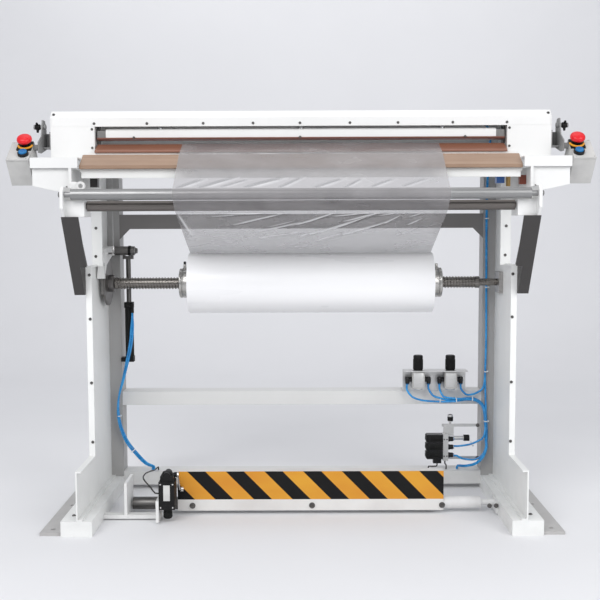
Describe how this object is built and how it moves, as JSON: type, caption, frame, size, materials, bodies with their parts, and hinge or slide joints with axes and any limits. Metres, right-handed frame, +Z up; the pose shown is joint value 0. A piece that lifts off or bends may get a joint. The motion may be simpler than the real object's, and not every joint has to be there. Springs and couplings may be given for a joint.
{
  "type": "impulse heat sealer",
  "caption": "floor-standing pneumatic impulse sealer: long heated jaw under a bridge head, film roll on a braked mandrel, guide rollers, two-hand controls and a striped treadle",
  "frame": {"origin": "on the floor under the middle of the machine", "axes": "X along the jaw, to the right of someone at the front; Y from the front to the back; Z up"},
  "size_m": [1.528, 0.5, 1.089],
  "materials": {
    "frame_paint": "white powder coat, satin",
    "post_paint": "light grey powder coat",
    "head_paint": "white powder coat, satin",
    "jaw_tape_tan": "tan non-stick coated cloth",
    "jaw_tape_brown": "brown non-stick coated cloth",
    "heating_alloy": "flat resistance band under tape",
    "silicone": "red-brown silicone rubber",
    "guide_steel": "dark machined steel",
    "machined_aluminium": "machined aluminium",
    "ground_steel": "ground and plated",
    "dull_steel": "dull turned steel",
    "strut_paint": "dark grey paint",
    "film_white": "wound film",
    "cardboard": "wound cardboard",
    "film_clear": "thin translucent film",
    "lever_paint": "white paint",
    "black_plastic": "black moulded plastic",
    "box_plastic": "light grey moulded plastic",
    "red_plastic": "red moulded plastic",
    "blue_plastic": "blue moulded plastic",
    "bezel_plastic": "yellow and black moulded plastic",
    "regulator_body": "light grey moulded plastic",
    "hazard_paint": "white sheet with yellow and black striped tape",
    "tube_blue": "blue polyurethane tube",
    "cable_black": "black sheath",
    "terminal": "moulded terminals and a brass stud"
  },
  "bodies": {
    "root": {"foot_tubes": "frame_paint", "floor_plates": "post_paint", "left_side_plate": "frame_paint", "right_side_plate": "frame_paint", "rear_posts": "post_paint", "lower_crossbar": "frame_paint", "base_beam": "frame_paint", "upper_rear_beam": "post_paint", "head_cover": "head_paint", "head_ends": "head_paint", "wings": "head_paint", "lower_jaw_beam": "frame_paint", "lower_jaw_cover": "jaw_tape_tan", "seal_anvil": "jaw_tape_brown", "heating_band": "heating_alloy", "guide_rails": "guide_steel", "jaw_cylinders": "machined_aluminium", "roller_brackets": "head_paint", "support_arms": "strut_paint", "mandrel_bearings": "dull_steel", "film_web": "film_clear", "brake_cylinder": "black_plastic", "control_boxes": "box_plastic", "box_brackets": "post_paint", "button_bezels": "bezel_plastic", "regulator_bracket": "post_paint", "regulator_bodies": "regulator_body", "valve_manifold": "machined_aluminium", "solenoid_valves": "black_plastic", "treadle_brackets": "post_paint", "limit_switch": "black_plastic", "jaw_terminals": "terminal", "left_air_tube": "tube_blue", "right_air_tubes": "tube_blue", "thin_cables": "cable_black"},
    "upper_jaw": {"upper_jaw_beam": "head_paint", "upper_jaw_cover": "jaw_tape_brown", "silicone_pad": "silicone", "guide_blocks": "guide_steel", "jaw_rods": "ground_steel"},
    "front_roller": {"front_roller": "ground_steel"},
    "second_roller": {"second_roller": "dull_steel"},
    "mandrel": {"mandrel_shaft": "ground_steel", "brake_disc": "guide_steel", "film_roll": "film_white", "roll_core": "cardboard"},
    "left_collar": {"left_collar": "dull_steel"},
    "right_collar": {"right_collar": "dull_steel"},
    "brake_lever": {"brake_lever": "lever_paint"},
    "brake_rod": {"brake_rod": "ground_steel"},
    "left_estop": {"left_estop": "red_plastic"},
    "right_estop": {"right_estop": "red_plastic"},
    "left_push_button": {"left_push_button": "blue_plastic"},
    "right_push_button": {"right_push_button": "blue_plastic"},
    "left_regulator_knob": {"left_regulator_knob": "black_plastic"},
    "right_regulator_knob": {"right_regulator_knob": "black_plastic"},
    "treadle": {"treadle_panel": "hazard_paint", "treadle_shaft": "dull_steel"},
    "switch_lever": {"switch_lever": "guide_steel"}
  },
  "joints": [
    {"name": "jaw_slide", "type": "slide", "parent": "root", "child": "upper_jaw", "axis": [0, 0, -1], "range_m": [0, 0.0091], "stiffness_N_per_m": 9000, "springref_m": -0.03},
    {"name": "front_roller_spin", "type": "hinge", "parent": "root", "child": "front_roller", "pos_m": [0, -0.23, 0.861], "axis": [1, 0, 0], "continuous": true},
    {"name": "second_roller_spin", "type": "hinge", "parent": "root", "child": "second_roller", "pos_m": [0, -0.19, 0.833], "axis": [1, 0, 0], "continuous": true},
    {"name": "mandrel_spin", "type": "hinge", "parent": "root", "child": "mandrel", "pos_m": [0, 0.106, 0.62], "axis": [1, 0, 0], "continuous": true},
    {"name": "left_collar_slide", "type": "slide", "parent": "mandrel", "child": "left_collar", "axis": [-1, 0, 0], "range_m": [0, 0.14]},
    {"name": "right_collar_slide", "type": "slide", "parent": "mandrel", "child": "right_collar", "axis": [1, 0, 0], "range_m": [0, 0.1]},
    {"name": "brake_lever_pivot", "type": "hinge", "parent": "root", "child": "brake_lever", "pos_m": [-0.52, 0.15, 0.711], "axis": [1, 0, 0], "range_deg": [0, 0.95], "stiffness_Nm_per_rad": 120, "springref_deg": -2.86},
    {"name": "brake_rod_slide", "type": "slide", "parent": "root", "child": "brake_rod", "axis": [0, 0, 1], "range_m": [0, 0.0006]},
    {"name": "left_estop_press", "type": "slide", "parent": "root", "child": "left_estop", "axis": [0, 0.6157, -0.788], "range_m": [0, 0.004]},
    {"name": "right_estop_press", "type": "slide", "parent": "root", "child": "right_estop", "axis": [0, 0.6157, -0.788], "range_m": [0, 0.004]},
    {"name": "left_button_press", "type": "slide", "parent": "root", "child": "left_push_button", "axis": [0, 0.6157, -0.788], "range_m": [0, 0.003], "stiffness_N_per_m": 400, "springref_m": -0.002},
    {"name": "right_button_press", "type": "slide", "parent": "root", "child": "right_push_button", "axis": [0, 0.6157, -0.788], "range_m": [0, 0.003], "stiffness_N_per_m": 400, "springref_m": -0.002},
    {"name": "left_regulator_turn", "type": "hinge", "parent": "root", "child": "left_regulator_knob", "pos_m": [0.34, 0.168, 0.38], "axis": [0, 0, 1], "range_deg": [-360, 360]},
    {"name": "right_regulator_turn", "type": "hinge", "parent": "root", "child": "right_regulator_knob", "pos_m": [0.434, 0.168, 0.38], "axis": [0, 0, 1], "range_deg": [-360, 360]},
    {"name": "treadle_tilt", "type": "hinge", "parent": "root", "child": "treadle", "pos_m": [0, -0.04, 0.026], "axis": [-1, 0, 0], "range_deg": [0, 5], "stiffness_Nm_per_rad": 60, "springref_deg": -3.44},
    {"name": "switch_lever_pivot", "type": "hinge", "parent": "root", "child": "switch_lever", "pos_m": [-0.333, -0.106, 0.122], "axis": [1, 0, 0], "range_deg": [0, 5]}
  ],
  "couplings": [
    {"joint": "brake_rod_slide", "follows": "brake_lever_pivot", "m_per_rad": 0.035},
    {"joint": "switch_lever_pivot", "follows": "treadle_tilt", "ratio": 0.88}
  ]
}
